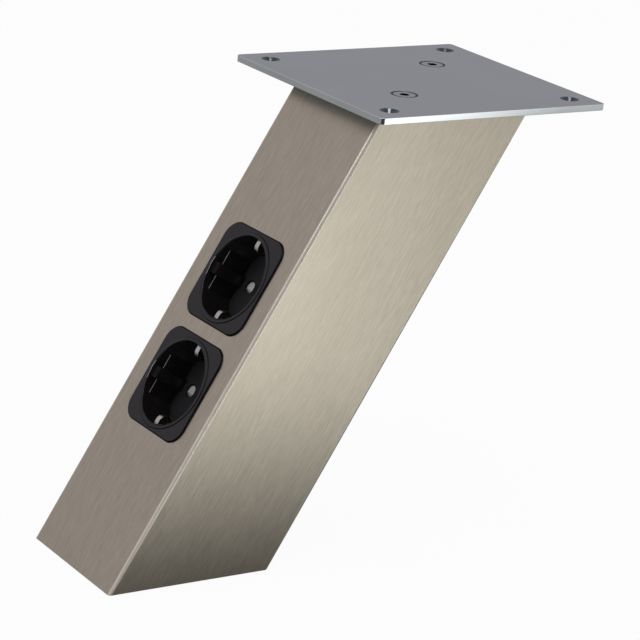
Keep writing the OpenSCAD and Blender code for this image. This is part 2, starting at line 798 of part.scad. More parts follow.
post_tube();
top_anchor();
top_plate();
plate_screws();
foot_plate();
cable_grommet();
upper_socket_housing();
upper_shutter();
upper_shutter_spring();
upper_socket_base();
upper_live_contact();
upper_neutral_contact();
upper_earth_strap();
upper_terminal_screws();
upper_base_screws();
lower_socket_housing();
lower_shutter();
lower_shutter_spring();
lower_socket_base();
lower_live_contact();
lower_neutral_contact();
lower_earth_strap();
lower_terminal_screws();
lower_base_screws();
live_link();
neutral_link();
earth_link();
bond_lead();
bond_stud();
bond_washer();
bond_nut();
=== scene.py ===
"""Finished model of the leaning counter console: post, top plate, two sockets, wiring and studio."""

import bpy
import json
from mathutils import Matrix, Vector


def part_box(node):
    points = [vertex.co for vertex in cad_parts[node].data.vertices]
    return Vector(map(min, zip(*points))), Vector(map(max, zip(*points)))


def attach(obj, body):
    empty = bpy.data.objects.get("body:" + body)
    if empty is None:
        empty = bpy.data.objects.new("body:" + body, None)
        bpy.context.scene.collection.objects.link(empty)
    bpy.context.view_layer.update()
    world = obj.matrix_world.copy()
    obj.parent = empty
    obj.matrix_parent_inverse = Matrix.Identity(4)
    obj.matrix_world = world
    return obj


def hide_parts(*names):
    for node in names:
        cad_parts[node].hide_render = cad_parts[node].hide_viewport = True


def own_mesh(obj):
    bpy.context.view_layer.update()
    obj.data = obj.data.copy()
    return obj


bl_info = {
    "name": "Leaning counter console",
    "version": (1, 0, 0),
    "blender": (4, 5, 0),
    "location": "3D View > Sidebar > Console",
    "description": "Builds the finished pieces of the counter console on its packed frame",
    "category": "Object",
}

import json
import math

import bmesh
import bpy
from bpy.props import FloatProperty, FloatVectorProperty, PointerProperty
from mathutils import Matrix, Vector

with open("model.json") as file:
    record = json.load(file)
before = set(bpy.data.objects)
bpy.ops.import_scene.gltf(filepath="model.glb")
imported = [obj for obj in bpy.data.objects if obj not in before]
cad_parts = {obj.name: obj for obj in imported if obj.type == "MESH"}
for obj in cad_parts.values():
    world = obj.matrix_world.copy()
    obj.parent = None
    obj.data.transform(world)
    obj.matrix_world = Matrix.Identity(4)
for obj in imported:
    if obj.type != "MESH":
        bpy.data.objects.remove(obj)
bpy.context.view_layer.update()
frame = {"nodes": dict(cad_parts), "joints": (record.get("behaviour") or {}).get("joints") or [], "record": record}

MM = 0.001
UP = Vector((0, 0, 1))
ACROSS = Vector((0, 1, 0))
UP_POST = Vector(frame["joints"][0]["axis"]).normalized()
OUT = UP_POST.cross(ACROSS)
LEAN = math.acos(UP_POST.z)
SIDES = ("upper", "lower")

# Distance in metres under which two points are one, and length under which an edge is dropped
SAME = 1e-7
TINY = 1e-6

# Angles in degrees from which an edge is rounded, or shaded as a crease
SHARP = 28
CREASE = 30

# Share of a unit normal along a direction from which a face counts as facing it
FACING = 0.999


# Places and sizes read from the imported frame


def middle_of(node):
    low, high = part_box(node)
    return (low + high) / 2


def size_of(node):
    low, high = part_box(node)
    return high - low


def mount(name):
    """Position of one of the record's mounts, in metres."""
    return Vector(next(m["pos_m"] for m in frame["record"]["mounts"] if m["name"] == name))


POST_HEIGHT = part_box("post_tube")[1].z
PLATE_THICK = size_of("top_plate").z
PLATE_WIDTH = size_of("top_plate").x
TOP_CENTRE = Vector((middle_of("top_plate").x, 0, POST_HEIGHT))


def socket_matrix(side):
    """Matrix of a socket: x runs up the post, y across it and z out of its face, level with the tube."""
    place = Matrix((UP_POST, ACROSS, OUT)).transposed().to_4x4()
    place.translation = mount(side + "_plug") - OUT * bpy.context.scene.console_socket.rim_height * MM
    return place


def box_in(node, place):
    """Lowest and highest corner of a CAD node in a frame of its own, in millimetres."""
    back = place.inverted()
    points = [back @ v.co / MM for v in frame["nodes"][node].data.vertices]
    low = Vector([min(p[i] for p in points) for i in range(3)])
    high = Vector([max(p[i] for p in points) for i in range(3)])
    return low, high


# Settings


def length(name, description, default):
    """A size in millimetres."""
    return FloatProperty(name=name, description=description, default=default, min=0.0, precision=2)


def share(name, description, default):
    """A number from 0 to 1."""
    return FloatProperty(
        name=name, description=description, default=default, min=0.0, max=1.0, subtype="FACTOR"
    )


def power(name, description, default):
    """The power of a lamp in watts."""
    return FloatProperty(name=name, description=description, default=default, min=0.0, subtype="POWER")


def level(name, description, default):
    """A brightness, where 1 is white."""
    return FloatProperty(name=name, description=description, default=default, min=0.0, precision=3)


def colour(name, description, default):
    return FloatVectorProperty(
        name=name, description=description, default=default, size=3, min=0.0, max=1.0, subtype="COLOR"
    )


class ConsolePostSettings(bpy.types.PropertyGroup):
    """Square tube of the console."""

    width: length("Width", "Outside width of the tube in millimetres", 70.0)
    wall: length("Wall", "Thickness of the tube's wall in millimetres", 2.0)
    edge_radius: length("Edge radius", "Radius of the long outer edges in millimetres", 1.5)
    bore_radius: length("Bore radius", "Radius of the long inner edges in millimetres", 0.5)
    opening: length("Opening", "Side of the openings for the sockets in millimetres", 44.6)
    opening_radius: length("Opening radius", "Corner radius of those openings in millimetres", 6.3)
    burr: length("Burr", "Rounding of the sawn ends in millimetres", 0.15)
    steel: colour("Steel", "Colour of the brushed steel", (0.67, 0.615, 0.5))
    gloss: share("Roughness", "Roughness of the brushed steel", 0.33)
    # The long edges' own material is a lighter copy of the steel: a painted highlight
    edge_gloss: share("Edge roughness", "Roughness of the long edges with painted highlight", 0.34)


class ConsolePlateSettings(bpy.types.PropertyGroup):
    """Top plate and its screws."""

    corner_radius: length("Corner radius", "Radius of the plate's corners in millimetres", 2.0)
    edge_radius: length("Edge radius", "Rounding of the plate's edges in millimetres", 0.25)
    hole_inset: length("Hole inset", "Distance of the corner holes from the edges in millimetres", 11.5)
    hole: length("Hole", "Diameter of the corner holes in millimetres", 5.0)
    sink: length("Countersink", "Diameter of the corner countersinks in millimetres", 8.6)
    screw_place: length("Screw place", "Distance of each screw from the middle along both sides", 24.25)
    screw_head: length("Screw head", "Diameter of the screw heads in millimetres", 12.0)
    screw_hole: length("Screw hole", "Diameter of the holes for the screws in millimetres", 6.4)
    screw_sunk: length("Screw depth", "Depth of the screw heads under the plate's top in millimetres", 0.1)
    zinc: colour("Zinc", "Colour of the plated steel", (0.525, 0.615, 0.645))
    # Far lighter than the zinc: the milled edges' colour with a painted highlight in it
    milled_and_highlight: colour("Milled edge", "Colour of the milled edges", (0.89, 0.945, 0.96))
    gloss: share("Roughness", "Roughness of the plated steel", 0.24)


class ConsoleSocketSettings(bpy.types.PropertyGroup):
    """The two sockets."""

    rim_height: length("Rim height", "Height of the collar over the tube in millimetres", 1.3)
    recess: length("Recess", "Diameter of the round recess in millimetres", 40.0)
    rim_round: length("Rim rounding", "Rounding of the recess's rim in millimetres", 0.5)
    edge: length("Edge", "Softening of the moulded edges in millimetres", 0.13)
    travel: length("Travel", "How far a shutter slides open in millimetres", 5.6)
    spring_wire: length("Spring wire", "Diameter of the spring wire in millimetres", 0.35)
    plastic: colour("Plastic", "Colour of the moulded housing", (0.0115, 0.0108, 0.0125))
    # A slightly darker tint than the housing, which with the walls' low shine is painted shade
    recess_plastic_and_shade: colour("Recess", "Colour of the walls of the recess", (0.0115, 0.0098, 0.0098))
    shutter: colour("Shutter", "Colour of the shutters", (0.72, 0.72, 0.70))


class ConsoleWiringSettings(bpy.types.PropertyGroup):
    """Wires, lug and bonding stud."""

    strip: length("Strip", "Distance from a terminal block's middle to the insulation in millimetres", 4.5)
    stud: length("Stud", "Diameter of the bonding stud in millimetres", 4.0)
    stud_pitch: length("Stud pitch", "Pitch of the bonding stud's thread in millimetres", 0.7)
    brown: colour("Brown", "Colour of the live wire", (0.16, 0.055, 0.02))
    blue: colour("Blue", "Colour of the neutral wire", (0.02, 0.12, 0.45))
    green: colour("Green", "Main colour of the earth wires", (0.05, 0.30, 0.04))
    yellow: colour("Yellow", "Stripe of the earth wires", (0.80, 0.62, 0.03))


class ConsoleStudioSettings(bpy.types.PropertyGroup):
    """Floor, lamps and surroundings."""

    key: power("Key light", "Power of the softbox at the left", 1.0)
    top: power("Top light", "Power of the softbox overhead", 3.5)
    room: level("Room", "Brightness of the room on matt surfaces", 0.5)
    back: level("Back", "Brightness of the room's back in reflections", 0.375)
    side: level("Side", "Brightness of the room's sides in reflections", 0.75)
    near: level("Near", "Brightness of the room behind the camera in reflections", 0.42)
    overhead: level("Overhead", "Brightness of the ceiling in reflections", 0.2)
    # Levels of the floor in reflections, which make a painted shadow at the foot and painted pools of light
    foot: level("Foot", "Brightness of the floor beside the foot in reflections", 0.105)
    behind: level("Behind", "Brightness of the floor behind the foot in reflections", 0.255)
    beside: level("Beside", "Brightness of the floor far at the right in reflections", 0.5)
    front: level("Front", "Brightness of the floor in front in reflections", 1.6)


# Mesh helpers


def rounded_square(bm, width, radius, height, segments=8):
    """Face with a square outline and round corners, at one height."""
    made = bmesh.ops.create_grid(
        bm, x_segments=1, y_segments=1, size=width / 2, matrix=Matrix.Translation((0, 0, height))
    )
    bmesh.ops.bevel(
        bm, geom=made["verts"], offset=radius, offset_type="OFFSET", segments=segments, profile=0.5,
        affect="VERTICES", material=-1
    )
    return max(bm.faces, key=lambda f: len(f.verts))


def rounded_prism(width, radius, low, high, segments=8):
    """Closed prism with a rounded square outline between two heights."""
    bm = bmesh.new()
    face = rounded_square(bm, width, radius, low, segments)
    grown = bmesh.ops.extrude_face_region(bm, geom=[face])
    top = [v for v in grown["geom"] if isinstance(v, bmesh.types.BMVert)]
    bmesh.ops.translate(bm, verts=top, vec=(0, 0, high - low))
    bmesh.ops.recalc_face_normals(bm, faces=bm.faces)
    return bm


def line(bm, points):
    """Edges through points (radius, height) given in millimetres."""
    verts = [bm.verts.new((r * MM, 0, z * MM)) for r, z in points]
    return verts + [bm.edges.new(pair) for pair in zip(verts, verts[1:])]


def spun(profile, steps=64):
    """Solid of revolution round z from points (radius, height) that start and end on the axis."""
    bm = bmesh.new()
    bmesh.ops.spin(
        bm, geom=line(bm, profile), cent=(0, 0, 0), axis=UP, angle=math.tau, steps=steps, use_merge=True
    )
    bmesh.ops.remove_doubles(bm, verts=bm.verts, dist=SAME)
    bmesh.ops.recalc_face_normals(bm, faces=bm.faces)
    return bm


def cut_level(bm, height, kept):
    """Removes what lies past a level plane, on the side away from a direction."""
    geometry = bm.verts[:] + bm.edges[:] + bm.faces[:]
    bmesh.ops.bisect_plane(bm, geom=geometry, plane_co=(0, 0, height), plane_no=-kept, clear_outer=True)


def threaded(diameter, pitch, high, steps=32):
    """Rod with a helical thread, standing on z = 0. The thread starts below and is cut level."""
    bm = bmesh.new()
    outside = diameter / 2
    root = outside - 0.6 * pitch
    shoulder = outside - 0.03
    start = -2 * pitch
    turns = math.ceil(high / pitch) + 3
    profile = [
        (root, start), (shoulder, start + 0.45 * pitch), (outside, start + 0.5 * pitch),
        (shoulder, start + 0.55 * pitch), (root, start + pitch)
    ]
    bmesh.ops.spin(
        bm, geom=line(bm, profile), cent=(0, 0, 0), axis=UP, dvec=UP * pitch * MM / steps,
        angle=turns * math.tau, steps=turns * steps
    )
    bmesh.ops.remove_doubles(bm, verts=bm.verts, dist=TINY)
    for height, normal in ((0, UP), (high * MM, -UP)):
        cut_level(bm, height, normal)
        bmesh.ops.edgeloop_fill(bm, edges=[e for e in bm.edges if e.is_boundary])
    bmesh.ops.recalc_face_normals(bm, faces=bm.faces)
    return bm


def coil(diameter, wire, high, turns, steps=20):
    """Compression spring standing on z = 0, whose first and last turn are closed."""
    bm = bmesh.new()
    radius = (diameter - wire) / 2
    upright = Matrix.Rotation(math.pi / 2, 4, "X")
    start = Matrix.Translation((radius * MM, 0, wire / 2 * MM)) @ upright
    bmesh.ops.create_circle(bm, cap_ends=True, segments=8, radius=wire / 2 * MM, matrix=start)
    end = bm.verts[:] + bm.edges[:] + bm.faces[:]
    closed = 1.05 * wire
    open_rise = (high - wire - 2 * closed) / (turns - 2)
    for rise in [closed] + [open_rise] * (turns - 2) + [closed]:
        made = bmesh.ops.spin(
            bm, geom=end, cent=(0, 0, 0), axis=UP, dvec=UP * rise * MM / steps, angle=math.tau, steps=steps
        )
        end = made["geom_last"]
    bmesh.ops.remove_doubles(bm, verts=bm.verts, dist=SAME)
    bmesh.ops.recalc_face_normals(bm, faces=bm.faces)
    return bm


def sharp_edges(bm, degrees=SHARP):
    """Edges between faces that meet at more than an angle."""
    limit = math.radians(degrees)
    return [e for e in bm.edges if e.is_manifold and e.calc_face_angle(0) > limit]


def round_edges(bm, edges, width, segments=2):
    """Rounds some edges by a width in millimetres."""
    bmesh.ops.bevel(
        bm, geom=edges, offset=width * MM, offset_type="OFFSET", segments=segments, profile=0.5,
        affect="EDGES", clamp_overlap=False, material=-1
    )


def paint(bm, rule):
    """Gives each face the material that a rule names by its number."""
    for face in bm.faces:
        face.material_index = rule(face)


def to_object(bm, name):
    """Object from a mesh in the making, which is freed."""
    mesh = bpy.data.meshes.new(name)
    bm.to_mesh(mesh)
    bm.free()
    obj = bpy.data.objects.new(name, mesh)
    bpy.context.scene.collection.objects.link(obj)
    return obj


def joined(parts, name):
    """One object from several meshes in the making."""
    whole = bmesh.new()
    for part in parts:
        piece = to_object(part, name)
        whole.from_mesh(piece.data)
        bpy.data.objects.remove(piece)
    return to_object(whole, name)


def carve(obj, cutters):
    """Cuts the shapes of other objects out of one, and removes them."""
    for cutter in cutters:
        modifier = obj.modifiers.new("Cut", "BOOLEAN")
        modifier.operation = "DIFFERENCE"
        modifier.solver = "EXACT"
        modifier.object = cutter
        bpy.context.view_layer.update()
        graph = bpy.context.evaluated_depsgraph_get()
        made = bpy.data.meshes.new_from_object(obj.evaluated_get(graph))
        obj.modifiers.clear()
        obj.data = made
        bpy.data.objects.remove(cutter)


def from_object(obj):
    """Mesh in the making from an object, which is removed."""
    bm = bmesh.new()
    bm.from_mesh(obj.data)
    bpy.data.objects.remove(obj)
    return bm


def merged_copy(node, gap=0.02, bend=0.5):
    """Mesh of a CAD node, its points joined over a gap in millimetres and its flat faces within a bend."""
    bm = bmesh.new()
    bm.from_mesh(frame["nodes"][node].data)
    bmesh.ops.remove_doubles(bm, verts=bm.verts, dist=gap * MM)
    bmesh.ops.dissolve_limit(bm, angle_limit=math.radians(bend), verts=bm.verts, edges=bm.edges)
    bmesh.ops.dissolve_degenerate(bm, dist=TINY, edges=bm.edges)
    return bm


def between(value, bounds):
    """Whether a value lies inside a pair of bounds."""
    return bounds[0] < value < bounds[1]


def is_level(face):
    """Whether a face lies level, facing up or down."""
    return abs(face.normal.z) > FACING


def lay_along(bm, direction):
    """UV map in metres whose u runs along a direction on every face."""
    layer = bm.loops.layers.uv.verify()
    for face in bm.faces:
        u = direction - face.normal * direction.dot(face.normal)
        u = u.normalized() if u.length > 0.001 else face.calc_tangent_edge()
        v = face.normal.cross(u)
        for loop in face.loops:
            loop[layer].uv = (loop.vert.co.dot(u), loop.vert.co.dot(v))


def finish(bm, name, body, materials, nodes):
    """Shades a piece, hangs it on the empty of the body that carries it, and hides the CAD nodes that it stands
    for.
    """
    bmesh.ops.dissolve_degenerate(bm, dist=TINY, edges=bm.edges)
    obj = to_object(bm, name)
    for polygon in obj.data.polygons:
        polygon.use_smooth = True
    obj.data.set_sharp_from_angle(angle=math.radians(CREASE))
    even = obj.modifiers.new("Even normals", "WEIGHTED_NORMAL")
    even.keep_sharp = True
    for material in materials:
        obj.data.materials.append(material)
    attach(obj, body)
    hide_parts(*nodes)
    return obj


def softened(node, width, body, material):
    """Finished piece from a CAD node whose edges only need rounding."""
    bm = merged_copy(node)
    round_edges(bm, sharp_edges(bm), width)
    return finish(bm, "Finished_" + node, body, [material], [node])


# Material helpers


class Nodes:
    """Adds and links the nodes of one material or world."""

    def __init__(self, owner):
        owner.use_nodes = True
        self.owner = owner
        self.tree = owner.node_tree
        self.shader = self.tree.nodes.get("Principled BSDF")

    def add(self, kind, **values):
        """New node, with some of its settings or inputs."""
        made = self.tree.nodes.new(kind)
        for key, value in values.items():
            if hasattr(made, key):
                setattr(made, key, value)
            else:
                made.inputs[key.replace("_", " ").title()].default_value = value
        return made

    def link(self, source, target):
        self.tree.links.new(source, target)

    def set(self, **values):
        """Sets inputs of the main shader."""
        for key, value in values.items():
            self.shader.inputs[key.replace("_", " ").title()].default_value = value

    def coords(self, scale=(1, 1, 1), turn=(0, 0, 0)):
        """Object coordinates, turned first and then stretched."""
        vector = self.add("ShaderNodeTexCoord").outputs["Object"]
        for step, values in (("Rotation", turn), ("Scale", scale)):
            mapping = self.add("ShaderNodeMapping")
            mapping.inputs[step].default_value = values
            self.link(vector, mapping.inputs["Vector"])
            vector = mapping.outputs["Vector"]
        return vector

    def separate(self, vector):
        """The three coordinates of a vector, by their names."""
        made = self.add("ShaderNodeSeparateXYZ")
        self.link(vector, made.inputs[0])
        return made.outputs

    def noise(self, vector, scale, detail=2.0, roughness=0.5):
        made = self.add("ShaderNodeTexNoise", scale=scale, detail=detail, roughness=roughness)
        self.link(vector, made.inputs["Vector"])
        return made.outputs["Fac"]

    def span(self, value, low, high, source=(0.3, 0.7), kind="LINEAR"):
        """Maps a value from its source range to a range from low to high."""
        made = self.add("ShaderNodeMapRange", interpolation_type=kind)
        made.inputs["From Min"].default_value = source[0]
        made.inputs["From Max"].default_value = source[1]
        made.inputs["To Min"].default_value = low
        made.inputs["To Max"].default_value = high
        self.link(value, made.inputs["Value"])
        return made.outputs["Result"]

    def blend(self, factor, first, second):
        """Colour between two colours or outputs."""
        made = self.add("ShaderNodeMix", data_type="RGBA")
        self.link(factor, made.inputs["Factor"])
        for socket, value in ((made.inputs[6], first), (made.inputs[7], second)):
            if isinstance(value, bpy.types.NodeSocket):
                self.link(value, socket)
            else:
                socket.default_value = (*value, 1)
        return made.outputs[2]

    def bump(self, height, strength, distance, below=None):
        """Relief with a distance in millimetres, on top of another relief."""
        made = self.add("ShaderNodeBump")
        made.inputs["Strength"].default_value = strength
        made.inputs["Distance"].default_value = distance * MM
        self.link(height, made.inputs["Height"])
        if below:
            self.link(below, made.inputs["Normal"])
        return made.outputs["Normal"]

    def math(self, operation, first, second=None, third=None):
        """Number from one to three outputs or numbers."""
        made = self.add("ShaderNodeMath", operation=operation)
        for socket, value in zip(made.inputs, (first, second, third)):
            if isinstance(value, bpy.types.NodeSocket):
                self.link(value, socket)
            elif value is not None:
                socket.default_value = value
        return made.outputs[0]

    def surface(self, colour, roughness, normal):
        """Links the three to the main shader and gives the material back."""
        self.link(colour, self.shader.inputs["Base Color"])
        self.link(roughness, self.shader.inputs["Roughness"])
        self.link(normal, self.shader.inputs["Normal"])
        return self.owner

    def glow(self, kind, strength):
        """Emission or background shader of one white strength, or of a strength from an output."""
        made = self.add(kind)
        made.inputs["Color"].default_value = (1, 1, 1, 1)
        if isinstance(strength, bpy.types.NodeSocket):
            self.link(strength, made.inputs["Strength"])
        else:
            made.inputs["Strength"].default_value = strength
        return made

    def mixed(self, factor, first, second):
        """Shader between the outputs of two shaders."""
        made = self.add("ShaderNodeMixShader")
        for socket, value in zip(made.inputs, (factor, first.outputs[0], second.outputs[0])):
            self.link(value, socket)
        return made

    def by_ray(self, matt, mirrored, plain, white):
        """Shows one shader to matt surfaces, one to reflections and a share of one to the camera."""
        ray = self.add("ShaderNodeLightPath").outputs
        reflected = self.math("ADD", ray["Is Glossy Ray"], ray["Is Transmission Ray"])
        seen = self.math("MULTIPLY", ray["Is Camera Ray"], white)
        whole = self.mixed(seen, self.mixed(reflected, matt, mirrored), plain)
        output = next(node for node in self.tree.nodes if node.name.endswith("Output"))
        self.link(whole.outputs[0], output.inputs["Surface"])


def new_material(name):
    return Nodes(bpy.data.materials.new(name))


def scaled(tint, factor):
    """Lighter or darker colour."""
    return tuple(min(1.0, c * factor) for c in tint)


def brushed_steel(name, tint, roughness, anisotropy=0.5):
    """Steel brushed along the post, in short fine strokes of uneven depth."""
    n = new_material(name)
    n.set(metallic=1.0, anisotropic=anisotropy, anisotropic_rotation=0.25)
    turn = (0, -LEAN, 0)
    hairs = n.noise(n.coords((1, 1, 0.012), turn), scale=5200, detail=3.0, roughness=0.65)
    strokes = n.noise(n.coords((1, 1, 0.07), turn), scale=2300, roughness=0.6)
    bands = n.noise(n.coords((1, 1, 0.02), turn), scale=700, detail=3.0, roughness=0.6)
    clouds = n.noise(n.coords((1, 1, 0.35), turn), scale=38)
    fine = n.math("ADD", n.span(hairs, 0.0, 0.4), n.span(strokes, 0.0, 0.6))
    shade = n.blend(fine, scaled(tint, 0.77), scaled(tint, 1.22))
    tone = n.blend(n.span(bands, 0.0, 0.35), shade, scaled(tint, 0.95))
    uneven = n.math("ADD", fine, clouds)
    rough = n.span(uneven, roughness - 0.05, roughness + 0.05, source=(0.3, 1.6))
    scored = n.bump(strokes, strength=0.06, distance=0.02)
    relief = n.bump(hairs, strength=0.12, distance=0.02, below=scored)
    tangent = n.add("ShaderNodeTangent", direction_type="UV_MAP")
    n.link(tangent.outputs["Tangent"], n.shader.inputs["Tangent"])
    return n.surface(tone, rough, relief)


def plated_steel(name, tint, roughness):
    """Plated sheet: smooth, bluish, with a faint rolling grain and soft clouds."""
    n = new_material(name)
    n.set(metallic=1.0)
    grain = n.noise(n.coords((0.03, 1, 1)), scale=2200, roughness=0.6)
    clouds = n.noise(n.coords(), scale=28, detail=3.0, roughness=0.55)
    tone = n.blend(n.span(clouds, 0.0, 1.0), scaled(tint, 0.96), scaled(tint, 1.04))
    rough = n.span(clouds, roughness - 0.03, roughness + 0.03)
    return n.surface(tone, rough, n.bump(grain, strength=0.012, distance=0.01))


def machined_metal(name, tint, roughness, scale=3200, stretch=(1, 1, 1), depth=0.1):
    """Bare or plated metal with the fine marks of the tool."""
    n = new_material(name)
    n.set(metallic=1.0)
    marks = n.noise(n.coords(stretch), scale=scale, detail=3.0, roughness=0.6)
    stain = n.noise(n.coords(), scale=300)
    tone = n.blend(n.span(stain, 0.0, 1.0), scaled(tint, 0.92), scaled(tint, 1.05))
    rough = n.span(marks, roughness - 0.06, roughness + 0.07)
    return n.surface(tone, rough, n.bump(marks, strength=depth, distance=0.03))


def tapped_steel(name, tint, roughness, pitch):
    """Welded-in steel whose drilled walls show the turns of a thread."""
    n = new_material(name)
    n.set(metallic=1.0)
    scale_marks = n.noise(n.coords(), scale=420, detail=4.0, roughness=0.65)
    fine = n.noise(n.coords(), scale=2600)
    tone = n.blend(n.span(scale_marks, 0.0, 1.0), scaled(tint, 0.8), scaled(tint, 1.15))
    rough = n.span(scale_marks, roughness - 0.08, roughness + 0.1)
    turns = n.add("ShaderNodeTexWave", wave_type="BANDS", bands_direction="Z")
    turns.inputs["Scale"].default_value = math.pi / 10 / (pitch * MM)
    n.link(n.coords(), turns.inputs["Vector"])
    thread = n.bump(turns.outputs["Fac"], strength=0.5, distance=0.2)
    return n.surface(tone, rough, n.bump(fine, strength=0.15, distance=0.04, below=thread))


def rolled_steel(name, tint, roughness):
    """Plain hot-rolled steel with mill scale and a few scratches."""
    n = new_material(name)
    n.set(metallic=1.0)
    patches = n.noise(n.coords(), scale=130, detail=5.0, roughness=0.65)
    scratches = n.noise(n.coords((1, 0.04, 1)), scale=2600, roughness=0.6)
    tone = n.blend(n.span(patches, 0.0, 1.0), scaled(tint, 0.7), scaled(tint, 1.15))
    rough = n.span(patches, roughness + 0.1, roughness - 0.08)
    scale_relief = n.bump(patches, strength=0.1, distance=0.1)
    return n.surface(tone, rough, n.bump(scratches, strength=0.15, distance=0.03, below=scale_relief))


def moulded_plastic(name, tint, roughness, grain=0.12, shine=0.5):
    """Moulded plastic with a fine eroded grain and faint flow clouds."""
    n = new_material(name)
    n.shader.inputs["IOR"].default_value = 1.5
    n.shader.inputs["Specular IOR Level"].default_value = shine
    fine = n.noise(n.coords(), scale=5200, roughness=0.6)
    broad = n.noise(n.coords(), scale=160)
    tone = n.blend(n.span(broad, 0.0, 1.0), scaled(tint, 0.9), scaled(tint, 1.12))
    uneven = n.math("ADD", fine, broad)
    rough = n.span(uneven, roughness - 0.04, roughness + 0.05, source=(0.7, 1.3))
    return n.surface(tone, rough, n.bump(fine, strength=grain, distance=0.03))


def insulation(name, tint, stripe=None):
    """Soft extruded sleeve, with a stripe along both sides of an earth wire."""
    n = new_material(name)
    n.shader.inputs["IOR"].default_value = 1.48
    fine = n.noise(n.coords(), scale=1500)
    tone = n.blend(n.span(fine, 0.0, 1.0), scaled(tint, 0.92), scaled(tint, 1.06))
    if stripe:
        off = n.math("ABSOLUTE", n.separate(n.coords())["Y"])
        at_side = n.span(off, 0.0, 1.0, source=(0.85 * MM, 0.95 * MM))
        tone = n.blend(at_side, tone, stripe)
    return n.surface(tone, n.span(fine, 0.38, 0.5), n.bump(fine, strength=0.05, distance=0.05))


# Pieces


class CONSOLE_OT_post(bpy.types.Operator):
    """Square steel tube, brushed along its length and cut level at both ends"""

    bl_idname = "console.post"
    bl_label = "Brushed post"

    def execute(self, context):
        s = context.scene.console_post
        width, wall = s.width * MM, s.wall * MM
        over = 2 * width
        long = POST_HEIGHT / math.cos(LEAN) + over
        tube = rounded_prism(width, s.edge_radius * MM, -over, long, segments=10)
        bore = rounded_prism(width - 2 * wall, s.bore_radius * MM, -over - width, long + width, segments=3)
        for bm in (tube, bore):
            bm.transform(Matrix.Rotation(LEAN, 4, "Y"))
        openings = []
        for side in SIDES:
            block = rounded_prism(s.opening * MM, s.opening_radius * MM, -2 * wall, 2 * wall)
            block.transform(socket_matrix(side))
            openings.append(to_object(block, "opening"))
        tube = to_object(tube, "post")
        carve(tube, [to_object(bore, "bore")] + openings)
        bm = from_object(tube)
        self.level_ends(bm, s.burr)
        lay_along(bm, UP_POST)
        paint(bm, self.zone)
        # The rounded long edges get a lighter copy of the steel, which is a painted highlight
        edge_highlight_tint = scaled(s.steel, 1.45)
        sawn = scaled(s.steel, 0.9)
        materials = [
            brushed_steel("Brushed steel", s.steel, s.gloss),
            brushed_steel("Edges with painted highlight", edge_highlight_tint, s.edge_gloss, anisotropy=0.3),
            machined_metal("Sawn ends", sawn, roughness=0.35, scale=1800, stretch=(0.05, 1, 1), depth=0.25),
        ]
        finish(bm, "Brushed_post", "post", materials, ["post_tube"])
        return {"FINISHED"}

    @staticmethod
    def zone(face):
        """0 on the brushed sides, 1 on the rounded long edges with their painted highlight, 2 on the level ends.
        """
        if is_level(face):
            return 2
        straight = max(abs(face.normal.y), abs(face.normal.dot(OUT)))
        return 0 if straight > FACING else 1

    @staticmethod
    def level_ends(bm, burr):
        """Cuts both ends level, closes the wall there and takes off the burrs."""
        for height, normal in ((0, UP), (POST_HEIGHT, -UP)):
            cut_level(bm, height, normal)
            rim = [e for e in bm.edges if e.is_boundary]
            bmesh.ops.bridge_loops(bm, edges=rim)
        bmesh.ops.recalc_face_normals(bm, faces=bm.faces)
        ends = [e for e in sharp_edges(bm, 40) if any(is_level(f) for f in e.link_faces)]
        round_edges(bm, ends, burr)


